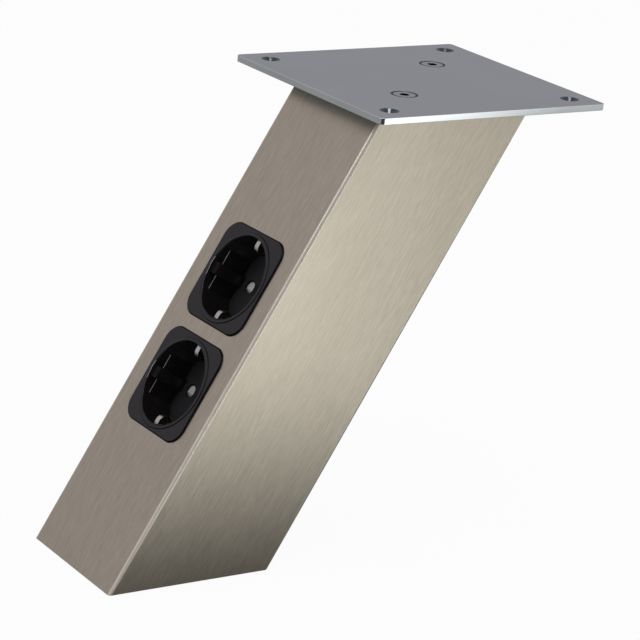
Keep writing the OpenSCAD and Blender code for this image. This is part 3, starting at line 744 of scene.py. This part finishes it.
class CONSOLE_OT_top_plate(bpy.types.Operator):
    """Square plate with four countersunk corner holes and two for its screws"""

    bl_idname = "console.top_plate"
    bl_label = "Top plate"

    # Rounding of the holes' edges, and width of the outer edge's zone, in millimetres
    ARRIS = 0.08
    RIM = 1

    def execute(self, context):
        s = context.scene.console_plate
        bm = rounded_prism(PLATE_WIDTH, s.corner_radius * MM, 0, PLATE_THICK)
        round_edges(bm, sharp_edges(bm, 60), s.edge_radius, segments=3)
        plate = to_object(bm, "plate")
        at = PLATE_WIDTH / 2 / MM - s.hole_inset
        corners = [(x, y) for x in (-at, at) for y in (-at, at)]
        diagonal = [(k * s.screw_place, k * s.screw_place) for k in (-1, 1)]
        screw_sink = s.screw_head + 2 * s.screw_sunk
        cutters = [self.sink(s.hole, s.sink, place) for place in corners]
        cutters += [self.sink(s.screw_hole, screw_sink, place) for place in diagonal]
        carve(plate, cutters)
        bm = from_object(plate)
        round_edges(bm, sharp_edges(bm, 35), self.ARRIS)
        paint(bm, self.zone)
        bm.transform(Matrix.Translation(TOP_CENTRE))
        # Countersinks, hole walls and the underside are darker copies of the zinc: painted shade in the sinks, in
        # the holes and under the plate
        shaded_sinks, shaded_holes, under = (scaled(s.zinc, factor) for factor in (0.4, 0.25, 0.55))
        turned = {"scale": 2400, "stretch": (1, 1, 0.3)}
        materials = [
            plated_steel("Plated steel", s.zinc, s.gloss),
            # The outer edges: milled metal brightened by a painted highlight
            plated_steel("Milled edges with painted highlight", s.milled_and_highlight, roughness=0.16),
            machined_metal("Countersinks with painted shade", shaded_sinks, roughness=0.2, depth=0.05, **turned),
            machined_metal("Drilled walls with painted shade", shaded_holes, roughness=0.4, depth=0.2, **turned),
            plated_steel("Plated underside with painted shade", under, roughness=0.35),
        ]
        finish(bm, "Top_plate", "post", materials, ["top_plate"])
        return {"FINISHED"}

    @classmethod
    def zone(cls, face):
        """0 on top, 1 on the outer edges with their painted highlight, 2 on the corner sinks, 3 in holes and screw
        sinks, 4 below; 2, 3 and 4 carry painted shade.
        """
        if is_level(face):
            return 0 if face.normal.z > 0 else 4
        middle = face.calc_center_median()
        if max(abs(middle.x), abs(middle.y)) > PLATE_WIDTH / 2 - cls.RIM * MM:
            return 1
        at_corner = math.hypot(middle.x, middle.y) > PLATE_WIDTH / 2
        looks_up = face.normal.z > 0.1
        return 2 if at_corner and looks_up else 3

    @staticmethod
    def sink(hole, wide, place):
        """Cutter for a countersunk hole through the plate."""
        thick = PLATE_THICK / MM
        below, above = -1, thick + 1
        cone = (wide - hole) / 2
        profile = [
            (0, below), (hole / 2, below), (hole / 2, thick - cone), (wide / 2, thick), (wide / 2, above),
            (0, above)
        ]
        bm = spun(profile, 48)
        bmesh.ops.translate(bm, verts=bm.verts, vec=(place[0] * MM, place[1] * MM, 0))
        return to_object(bm, "sink")


class CONSOLE_OT_plate_screws(bpy.types.Operator):
    """Two countersunk screws with hexagon sockets"""

    bl_idname = "console.plate_screws"
    bl_label = "Plate screws"

    # Thread, whole length, neck's radius, cone's height and hexagon socket, in millimetres
    SHANK = 4.9
    PITCH = 1.0
    SHANK_LENGTH = 8.9
    LENGTH = 12
    NECK = 3
    CONE = 3
    KEY = 4.2
    KEY_DEPTH = 2.2

    # Faces with painted shade: reach of the socket's walls from the axis, and width of the head's rim, in
    # millimetres
    KEY_WALLS = 2.35
    DARK_RIM = 0.85

    # Turn of each screw, and of the socket in its head, in degrees
    TURN = 12
    KEY_TURN = 3

    def execute(self, context):
        s = context.scene.console_plate
        head = s.screw_head / 2
        parts = []
        for k in (-1, 1):
            screw = to_object(spun(self.head_profile(head)), "screw")
            carve(screw, [self.key_hole()])
            head_mesh = from_object(screw)
            shank = threaded(self.SHANK, self.PITCH, self.SHANK_LENGTH)
            bmesh.ops.translate(shank, verts=shank.verts, vec=(0, 0, -self.LENGTH * MM))
            place = TOP_CENTRE + Vector((k, k, 0)) * s.screw_place * MM
            place += UP * (PLATE_THICK - s.screw_sunk * MM)
            turned = Matrix.Rotation(math.radians(self.TURN * k), 4, "Z")
            for bm in (head_mesh, shank):
                bm.transform(Matrix.Translation(place) @ turned)
                paint(bm, lambda face: int(self.is_dark(face, place, head)))
                parts.append(bm)
        screws = from_object(joined(parts, "screws"))
        steel = machined_metal("Screw steel", (0.50, 0.575, 0.60), roughness=0.24)
        # The socket and the gap round the head get near-black steel: painted shade
        painted_shade = machined_metal("Key socket and rim, painted shade", (0.03, 0.03, 0.035), roughness=0.3)
        finish(screws, "Plate_screws", "post", [steel, painted_shade], ["plate_screws"])
        return {"FINISHED"}

    @classmethod
    def head_profile(cls, head):
        """Half section of a head with a stub of the shank: a cone with a rounded rim and a flat top."""
        core = 2.4
        stub = -cls.CONE - 0.5
        rim = head - 0.35
        return [
            (0, stub), (core, stub), (core, -cls.CONE - 0.05), (cls.NECK, -cls.CONE),
            (rim - 0.15, -0.6), (rim, -0.45), (rim, -0.35), (rim - 0.25, -0.12), (rim - 0.65, 0), (0, 0)
        ]

    @classmethod
    def is_dark(cls, face, place, head):
        """Whether a face lies inside the hexagon socket or in the narrow gap round the head, where shade is
        painted.
        """
        middle = (face.calc_center_median() - place) / MM
        away = math.hypot(middle.x, middle.y)
        in_key = away < cls.KEY_WALLS and -cls.KEY_DEPTH - 0.1 < middle.z < -0.15
        on_rim = away > head - cls.DARK_RIM and face.normal.z < 0.97
        return in_key or on_rim

    @classmethod
    def key_hole(cls):
        """Cutter for the hexagon socket, half of it over the head."""
        bm = bmesh.new()
        radius = cls.KEY / 2 / math.cos(math.pi / 6) * MM
        bmesh.ops.create_cone(
            bm, cap_ends=True, segments=6, radius1=radius, radius2=radius, depth=2 * cls.KEY_DEPTH * MM,
            matrix=Matrix.Rotation(math.radians(cls.KEY_TURN), 4, "Z")
        )
        return to_object(bm, "key")


class CONSOLE_OT_ends(bpy.types.Operator):
    """Plates welded into both ends of the post, and the rubber bush for the supply cable"""

    bl_idname = "console.ends"
    bl_label = "Welded ends"

    # Rounding of the edges of the welded plates and of the bush, in millimetres
    PLATE_EDGE = 0.2
    BUSH_EDGE = 0.4

    def execute(self, context):
        rolled = rolled_steel("Rolled steel", (0.40, 0.39, 0.38), roughness=0.4)
        tapped = tapped_steel("Tapped holes", (0.50, 0.49, 0.48), roughness=0.3, pitch=1.25)
        for node in ("top_anchor", "foot_plate"):
            bm = merged_copy(node)
            round_edges(bm, sharp_edges(bm), self.PLATE_EDGE)
            paint(bm, lambda face: int(self.is_drilled(face)))
            finish(bm, "Welded_" + node, "post", [rolled, tapped], [node])
        rubber = moulded_plastic("Grommet rubber", (0.022, 0.022, 0.023), roughness=0.6, grain=0.3)
        softened("cable_grommet", self.BUSH_EDGE, "post", rubber)
        return {"FINISHED"}

    @staticmethod
    def is_drilled(face):
        """Whether a face is upright and turned away from both level axes, as the wall of a hole is."""
        straight = max(abs(face.normal.x), abs(face.normal.y))
        return abs(face.normal.z) < 0.1 and straight < 0.9999


class CONSOLE_OT_housings(bpy.types.Operator):
    """Moulded housings with a rounded rim round a dark recess"""

    bl_idname = "console.housings"
    bl_label = "Socket housings"

    # Width of the collar's top, lowest height of the outer slopes, half a guide rib with its edges, and the
    # heights between which the upper edges of the flats lie, in millimetres
    COLLAR = 0.8
    SLOPES = -5
    RIB = 4.2
    FLAT_EDGES = (-2.8, -2.4)

    # Upward part of a normal: on bevels beside a rib, at most on a slope, at least on a level face, and on
    # the bevels of the flats
    BESIDE_RIB = (0.55, 0.8)
    SLOPING = 0.9
    LEVEL = 0.99
    LEANING = (0.2, 0.98)

    def execute(self, context):
        s = context.scene.console_socket
        # Lighter edges are a painted highlight, the darker slopes, flats and ribs and the low-shine recess walls
        # are painted shade, and the lighter recess floor is painted light
        highlight_plastic = scaled(s.plastic, 40)
        shaded = scaled(s.plastic, 0.35)
        matt = scaled(s.plastic, 1.8)
        materials = [
            moulded_plastic("Housing plastic", s.plastic, roughness=0.32, grain=0.06),
            moulded_plastic("Recess plastic with painted shade", s.recess_plastic_and_shade, roughness=0.18, grain=0.02, shine=0.12),
            moulded_plastic("Plastic edges with painted highlight", highlight_plastic, roughness=0.25, grain=0.02),
            moulded_plastic("Shaded plastic slopes", shaded, roughness=0.4, grain=0.06, shine=0.12),
            moulded_plastic("Matt recess floor with painted light", matt, roughness=0.5, grain=0.2),
        ]
        depth = s.rim_height - s.rim_round
        reach = s.recess / 2 + 0.05
        for side in SIDES:
            node = side + "_socket_housing"
            place = socket_matrix(side)
            bm = merged_copy(node)
            bm.transform(place.inverted())
            round_edges(bm, self.rim(bm, s.recess / 2, s.rim_height), s.rim_round, segments=4)
            round_edges(bm, sharp_edges(bm), s.edge)
            paint(bm, lambda face: self.zone(face, reach, depth))
            bm.transform(place)
            finish(bm, "Finished_" + node, "post", materials, [node])
        return {"FINISHED"}

    @staticmethod
    def rim(bm, radius, height, near=0.05):
        """Edges of the circle where the recess meets the top of its collar, in millimetres."""
        def on_circle(vert):
            place = vert.co / MM
            away = math.hypot(place.x, place.y)
            return abs(away - radius) < near and abs(place.z - height) < near
        return [e for e in bm.edges if all(on_circle(v) for v in e.verts)]

    @classmethod
    def zone(cls, face, reach, depth):
        """0 outside, 1 on walls with painted shade, 2 on edges with a painted highlight, 3 on outer slopes, flats
        and ribs with painted shade, 4 on the floor with painted light.
        """
        middle = face.calc_center_median() / MM
        away = math.hypot(middle.x, middle.y)
        up = face.normal.z
        if away > reach or middle.z > depth:
            beside_rib = abs(middle.x) < cls.RIB and away < reach + 0.3 and between(up, cls.BESIDE_RIB)
            is_slope = abs(up) < cls.SLOPING and away > reach + cls.COLLAR and middle.z > cls.SLOPES
            return 2 if beside_rib else 3 if is_slope else 0
        if up > cls.LEVEL:
            return 4 if middle.z < -reach / 2 else 3
        on_flat = away < reach - 1 and between(middle.z, cls.FLAT_EDGES)
        leans_across = between(up, cls.LEANING) and abs(face.normal.y) > 0.3
        return 2 if on_flat and leans_across else 1


class CONSOLE_OT_socket_works(bpy.types.Operator):
    """Shutters, springs, bases, contacts and screws of both sockets"""

    bl_idname = "console.socket_works"
    bl_label = "Socket works"

    # Rounding of the earth straps' edges, in millimetres
    STRAP_EDGE = 0.09

    def execute(self, context):
        s = context.scene.console_socket
        white = moulded_plastic("Shutter plastic", s.shutter, roughness=0.4, grain=0.05)
        base = moulded_plastic("Base plastic", (0.045, 0.045, 0.05), roughness=0.5)
        brass = machined_metal("Contact brass", (0.80, 0.58, 0.26), roughness=0.3)
        steel = machined_metal("Small screws", (0.6, 0.6, 0.6), roughness=0.3)
        drawn = {"scale": 2600, "stretch": (1, 1, 0.2)}
        rolled = {"scale": 2600, "stretch": (1, 0.05, 1)}
        spring = machined_metal("Spring steel", (0.5, 0.5, 0.5), roughness=0.28, **drawn)
        nickel = machined_metal("Strap nickel", (0.86, 0.84, 0.80), roughness=0.2, depth=0.05, **rolled)
        bronze = machined_metal("Sheared bronze", (0.42, 0.24, 0.12), roughness=0.35, scale=2600)
        # Node, rounding of its edges in millimetres, material slot and material
        pieces = (
            ("shutter", 0.1, "shutter_plastic", white),
            ("socket_base", 0.13, "base_plastic", base),
            ("live_contact", 0.08, "contact_brass", brass),
            ("neutral_contact", 0.08, "contact_brass", brass),
            ("terminal_screws", 0.1, "screw_steel", steel),
            ("base_screws", 0.1, "screw_steel", steel),
        )
        for side in SIDES:
            for name, rounding, slot, material in pieces:
                node = side + "_" + name
                body = node if name == "shutter" else "post"
                softened(node, rounding, body, material)
            self.strap(side, [nickel, bronze])
            self.spring(side, s, spring)
        return {"FINISHED"}

    @classmethod
    def strap(cls, side, materials):
        """Earth strap: plated faces with bare sheared sides."""
        node = side + "_earth_strap"
        bm = merged_copy(node)
        paint(bm, lambda face: int(abs(face.normal.y) > 0.9))
        round_edges(bm, sharp_edges(bm), cls.STRAP_EDGE)
        finish(bm, "Finished_" + node, "post", materials, [node])

    @staticmethod
    def spring(side, s, material):
        """Coil that fills the place of the spring's CAD node, seated at its lower end."""
        node = side + "_shutter_spring"
        place = socket_matrix(side)
        low, high = box_in(node, place)
        rest = high.x - low.x
        middle = (low.z + high.z) / 2
        bm = coil(high.z - low.z, s.spring_wire, rest, turns=7)
        seat = Matrix.Translation((low.x * MM, 0, middle * MM))
        bm.transform(place @ seat @ Matrix.Rotation(math.pi / 2, 4, "Y"))
        obj = finish(bm, "Finished_" + node, "post", [material], [node])
        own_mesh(obj)


class CONSOLE_OT_wiring(bpy.types.Operator):
    """Wires between the sockets, and the bonding stud with its lead, washer and nut"""

    bl_idname = "console.wiring"
    bl_label = "Wiring"

    # Bare wire that shows behind a base, insulation that reaches into an earth block, and the lug's length
    # and the height of its barrel, in millimetres
    SHOWN = 0.3
    HIDDEN = 0.05
    LUG = 14.0
    BARREL = 3.9

    def execute(self, context):
        s = context.scene.console_wiring
        drawn = {"scale": 2600, "stretch": (1, 1, 0.1)}
        copper = machined_metal("Bare copper", (0.75, 0.36, 0.20), roughness=0.3, **drawn)
        tin = machined_metal("Tinned lug", (0.66, 0.66, 0.67), roughness=0.3)
        steel = machined_metal("Stud steel", (0.58, 0.58, 0.59), roughness=0.28)
        live = insulation("Brown insulation", s.brown)
        neutral = insulation("Blue insulation", s.blue)
        earth = insulation("Earth insulation", s.green, s.yellow)
        upper, lower = socket_matrix("upper"), socket_matrix("lower")
        back = box_in("upper_socket_base", upper)[0].z
        pitch = (mount("upper_plug") - mount("lower_plug")).length / MM
        lug = box_in("bond_lead", lower)[0]

        def in_terminal(p):
            return p.z > back - self.SHOWN

        def in_block(p):
            return min(abs(p.x), abs(p.x + pitch)) < s.strip - self.HIDDEN

        self.wire("live_link", upper, "brown_insulation", [live, copper], in_terminal)
        self.wire("neutral_link", upper, "blue_insulation", [neutral, copper], in_terminal)
        self.wire("earth_link", upper, "green_yellow_insulation", [earth, copper], in_block)
        bond = self.wire("bond_lead", lower, "green_yellow_insulation", [earth, copper, tin], in_block)
        self.tin_the_lug(bond, lower, lug)
        for node in ("bond_washer", "bond_nut"):
            softened(node, 0.12, "post", steel)
        self.stud(lower, s, steel)
        return {"FINISHED"}

    @staticmethod
    def wire(node, place, slot, materials, is_bare):
        """Wire from its CAD node, whose faces are bare metal where a test says so."""
        bm = merged_copy(node)
        back = place.inverted()
        paint(bm, lambda face: int(is_bare(back @ face.calc_center_median() / MM)))
        return finish(bm, "Finished_" + node, "post", materials, [node])

    @classmethod
    def tin_the_lug(cls, obj, place, lowest):
        """Gives the lug at the wire's end the third material."""
        back = place.inverted()
        for polygon in obj.data.polygons:
            p = back @ polygon.center / MM
            if p.x < lowest.x + cls.LUG and p.z < lowest.z + cls.BARREL:
                polygon.material_index = 2

    @staticmethod
    def stud(place, s, steel):
        """Threaded stud that stands on the inside of the tube's rear wall."""
        low, high = box_in("bond_stud", place)
        bm = threaded(s.stud, s.stud_pitch, high.z - low.z)
        bm.transform(place @ Matrix.Translation(((low.x + high.x) / 2 * MM, 0, low.z * MM)))
        finish(bm, "Finished_bond_stud", "post", [steel], ["bond_stud"])


# Stage

# Camera that was fitted to the picture: place in metres, directions, lens and sensor in millimetres
CAMERA_AT = Vector((-592.501, -991.979, 484.189)) * MM
CAMERA_LOOK = Vector((0.534786, 0.788625, -0.303438))
CAMERA_RIGHT = Vector((0.839771, -0.535874, 0.087316))
LENS = 155.91
SENSOR = 36
PIXELS = 640

# Half a pixel as a slope, because the fit counted pixels from their middles
HALF_PIXEL = 0.5 / (LENS / SENSOR * PIXELS)

# Turn of the floor's own axes: x runs away from the post where the wide face mirrors the floor
FLOOR_TURN = math.radians(50.2)

# Share of the camera's view that the floor gives as plain white, which leaves a faint shadow
FLOOR_WHITE = 0.95

# Faint rose tint of the room in reflections
ROOM_TINT = (1.0, 0.93, 0.985)


class CONSOLE_OT_stage(bpy.types.Operator):
    """Camera of the picture, pale floor, softboxes and the room's light"""

    bl_idname = "console.stage"
    bl_label = "Stage"

    def execute(self, context):
        studio = context.scene.console_studio
        self.camera(context.scene)
        self.floor(studio)
        self.lamps(context.scene, studio)
        self.room(context.scene, studio)
        context.scene.view_settings.view_transform = "Standard"
        return {"FINISHED"}

    @staticmethod
    def camera(scene):
        data = bpy.data.cameras.new("Camera")
        data.lens = LENS
        data.sensor_width = SENSOR
        data.clip_start = 0.05
        data.clip_end = 50
        down = CAMERA_LOOK.cross(CAMERA_RIGHT)
        look = (CAMERA_LOOK - HALF_PIXEL * (CAMERA_RIGHT + down)).normalized()
        right = (CAMERA_RIGHT - look * CAMERA_RIGHT.dot(look)).normalized()
        turn = Matrix((right, right.cross(look), -look)).transposed()
        cam = bpy.data.objects.new("Camera", data)
        cam.matrix_world = Matrix.Translation(CAMERA_AT) @ turn.to_4x4()
        scene.collection.objects.link(cam)
        scene.camera = cam

    @classmethod
    def floor(cls, studio):
        """Pale floor just under the foot, with its own brightness in reflections: a painted shadow at the foot and
        painted pools of light.
        """
        bm = bmesh.new()
        under = Matrix.Translation((0, 0, -0.2 * MM))
        bmesh.ops.create_grid(bm, x_segments=1, y_segments=1, size=8.0, matrix=under)
        obj = to_object(bm, "Floor")
        n = new_material("Pale floor")
        n.tree.nodes.remove(n.shader)
        matt = n.add("ShaderNodeBsdfDiffuse")
        matt.inputs["Color"].default_value = (0.9, 0.9, 0.9, 1)
        mirrored = n.glow("ShaderNodeEmission", cls.mirrored_floor(n, studio))
        plain = n.glow("ShaderNodeEmission", 1.0)
        n.by_ray(matt, mirrored, plain, FLOOR_WHITE)
        obj.data.materials.append(n.owner)

    @staticmethod
    def mirrored_floor(n, studio):
        """Painted brightness of the floor in reflections, over distances in metres along its turned axes.

        It is a painted shadow at the foot that rises to a painted pool of light ahead of the wide face, falls to
        both sides, and has two weaker painted lights: one behind the foot and one far at the right."""
        place = n.separate(n.coords(turn=(0, 0, FLOOR_TURN)))
        x, y = place["X"], place["Y"]
        away = n.math("SUBTRACT", x, y)
        ahead = n.span(away, studio.foot, studio.front, source=(0.02, 0.64), kind="SMOOTHSTEP")
        right = n.span(y, 1.22 * studio.front, studio.back, source=(-0.12, 0.065))
        left = n.span(y, 0.15 * studio.foot, studio.front, source=(-0.5, -0.15), kind="SMOOTHSTEP")
        beside = n.span(y, 0.0, studio.beside, source=(0.2, 0.5), kind="SMOOTHSTEP")
        behind = n.span(x, 0.0, studio.behind, source=(-0.1, -0.5), kind="SMOOTHSTEP")
        front = n.math("MINIMUM", n.math("SMOOTH_MIN", ahead, right, 0.1), left)
        return n.math("MAXIMUM", n.math("MAXIMUM", front, behind), beside)

    @staticmethod
    def lamps(scene, studio):
        """Two square softboxes that look at the middle of the post."""
        aim = Vector((0.04, 0, 0.11))
        for name, place, size, watts in (
            ("Key", Vector((-0.80, 0.22, 1.02)), 0.45, studio.key),
            ("Top", Vector((-0.2, -0.5, 1.6)), 0.5, studio.top),
        ):
            data = bpy.data.lights.new(name, "AREA")
            data.energy = watts
            data.size = size
            lamp = bpy.data.objects.new(name, data)
            lamp.location = place
            lamp.rotation_mode = "QUATERNION"
            lamp.rotation_quaternion = (aim - place).to_track_quat("-Z", "Y")
            scene.collection.objects.link(lamp)

    @classmethod
    def room(cls, scene, studio):
        """Room that is white to the camera, a soft grey to matt surfaces and uneven in reflections."""
        scene.world = bpy.data.worlds.new("Room")
        n = Nodes(scene.world)
        n.tree.nodes.remove(n.tree.nodes["Background"])
        matt = n.glow("ShaderNodeBackground", studio.room)
        mirrored = n.glow("ShaderNodeBackground", 1.0)
        n.link(cls.mirrored_room(n, studio), mirrored.inputs["Color"])
        plain = n.glow("ShaderNodeBackground", 1.0)
        n.by_ray(matt, mirrored, plain, 1.0)

    @staticmethod
    def mirrored_room(n, studio):
        """Colour of the room in reflections: bright at the sides, dimmer ahead and behind, dim overhead."""
        direction = n.add("ShaderNodeTexCoord").outputs["Generated"]
        towards = n.add("ShaderNodeVectorMath", operation="DOT_PRODUCT")
        towards.inputs[1].default_value = -CAMERA_LOOK
        n.link(direction, towards.inputs[0])
        ramp = n.add("ShaderNodeValToRGB")
        stops = ((0.22, studio.back), (0.36, studio.side), (0.52, studio.side), (0.72, studio.near))
        elements = ramp.color_ramp.elements
        while len(elements) < len(stops):
            elements.new(0.5)
        for element, (at, bright) in zip(elements, stops):
            element.position = at
            element.color = (*scaled(ROOM_TINT, bright), 1)
        n.link(towards.outputs["Value"], ramp.inputs[0])
        overhead = n.span(n.separate(direction)["Z"], 0.0, 1.0, source=(0.6, 0.85))
        return n.blend(overhead, ramp.outputs[0], (studio.overhead,) * 3)


# Panel and registration

STEPS = (
    CONSOLE_OT_stage,
    CONSOLE_OT_post,
    CONSOLE_OT_top_plate,
    CONSOLE_OT_plate_screws,
    CONSOLE_OT_ends,
    CONSOLE_OT_housings,
    CONSOLE_OT_socket_works,
    CONSOLE_OT_wiring,
)

SETTINGS = {
    "console_post": ConsolePostSettings,
    "console_plate": ConsolePlateSettings,
    "console_socket": ConsoleSocketSettings,
    "console_wiring": ConsoleWiringSettings,
    "console_studio": ConsoleStudioSettings,
}


class CONSOLE_PT_parts(bpy.types.Panel):
    """Lists the pieces and their settings"""

    bl_idname = "CONSOLE_PT_parts"
    bl_label = "Counter console"
    bl_space_type = "VIEW_3D"
    bl_region_type = "UI"
    bl_category = "Console"

    def draw(self, context):
        for step in STEPS:
            self.layout.operator(step.bl_idname)
        for name, group in SETTINGS.items():
            box = self.layout.box()
            for key in group.__annotations__:
                box.prop(getattr(context.scene, name), key)


CLASSES = (*SETTINGS.values(), *STEPS, CONSOLE_PT_parts)


def register():
    for cls in CLASSES:
        bpy.utils.register_class(cls)
    for name, group in SETTINGS.items():
        setattr(bpy.types.Scene, name, PointerProperty(type=group))


def unregister():
    for name in SETTINGS:
        delattr(bpy.types.Scene, name)
    for cls in reversed(CLASSES):
        bpy.utils.unregister_class(cls)


def main():
    register()
    for step in STEPS:
        group, name = step.bl_idname.split(".")
        getattr(getattr(bpy.ops, group), name)()


if __name__ == "__main__":
    main()
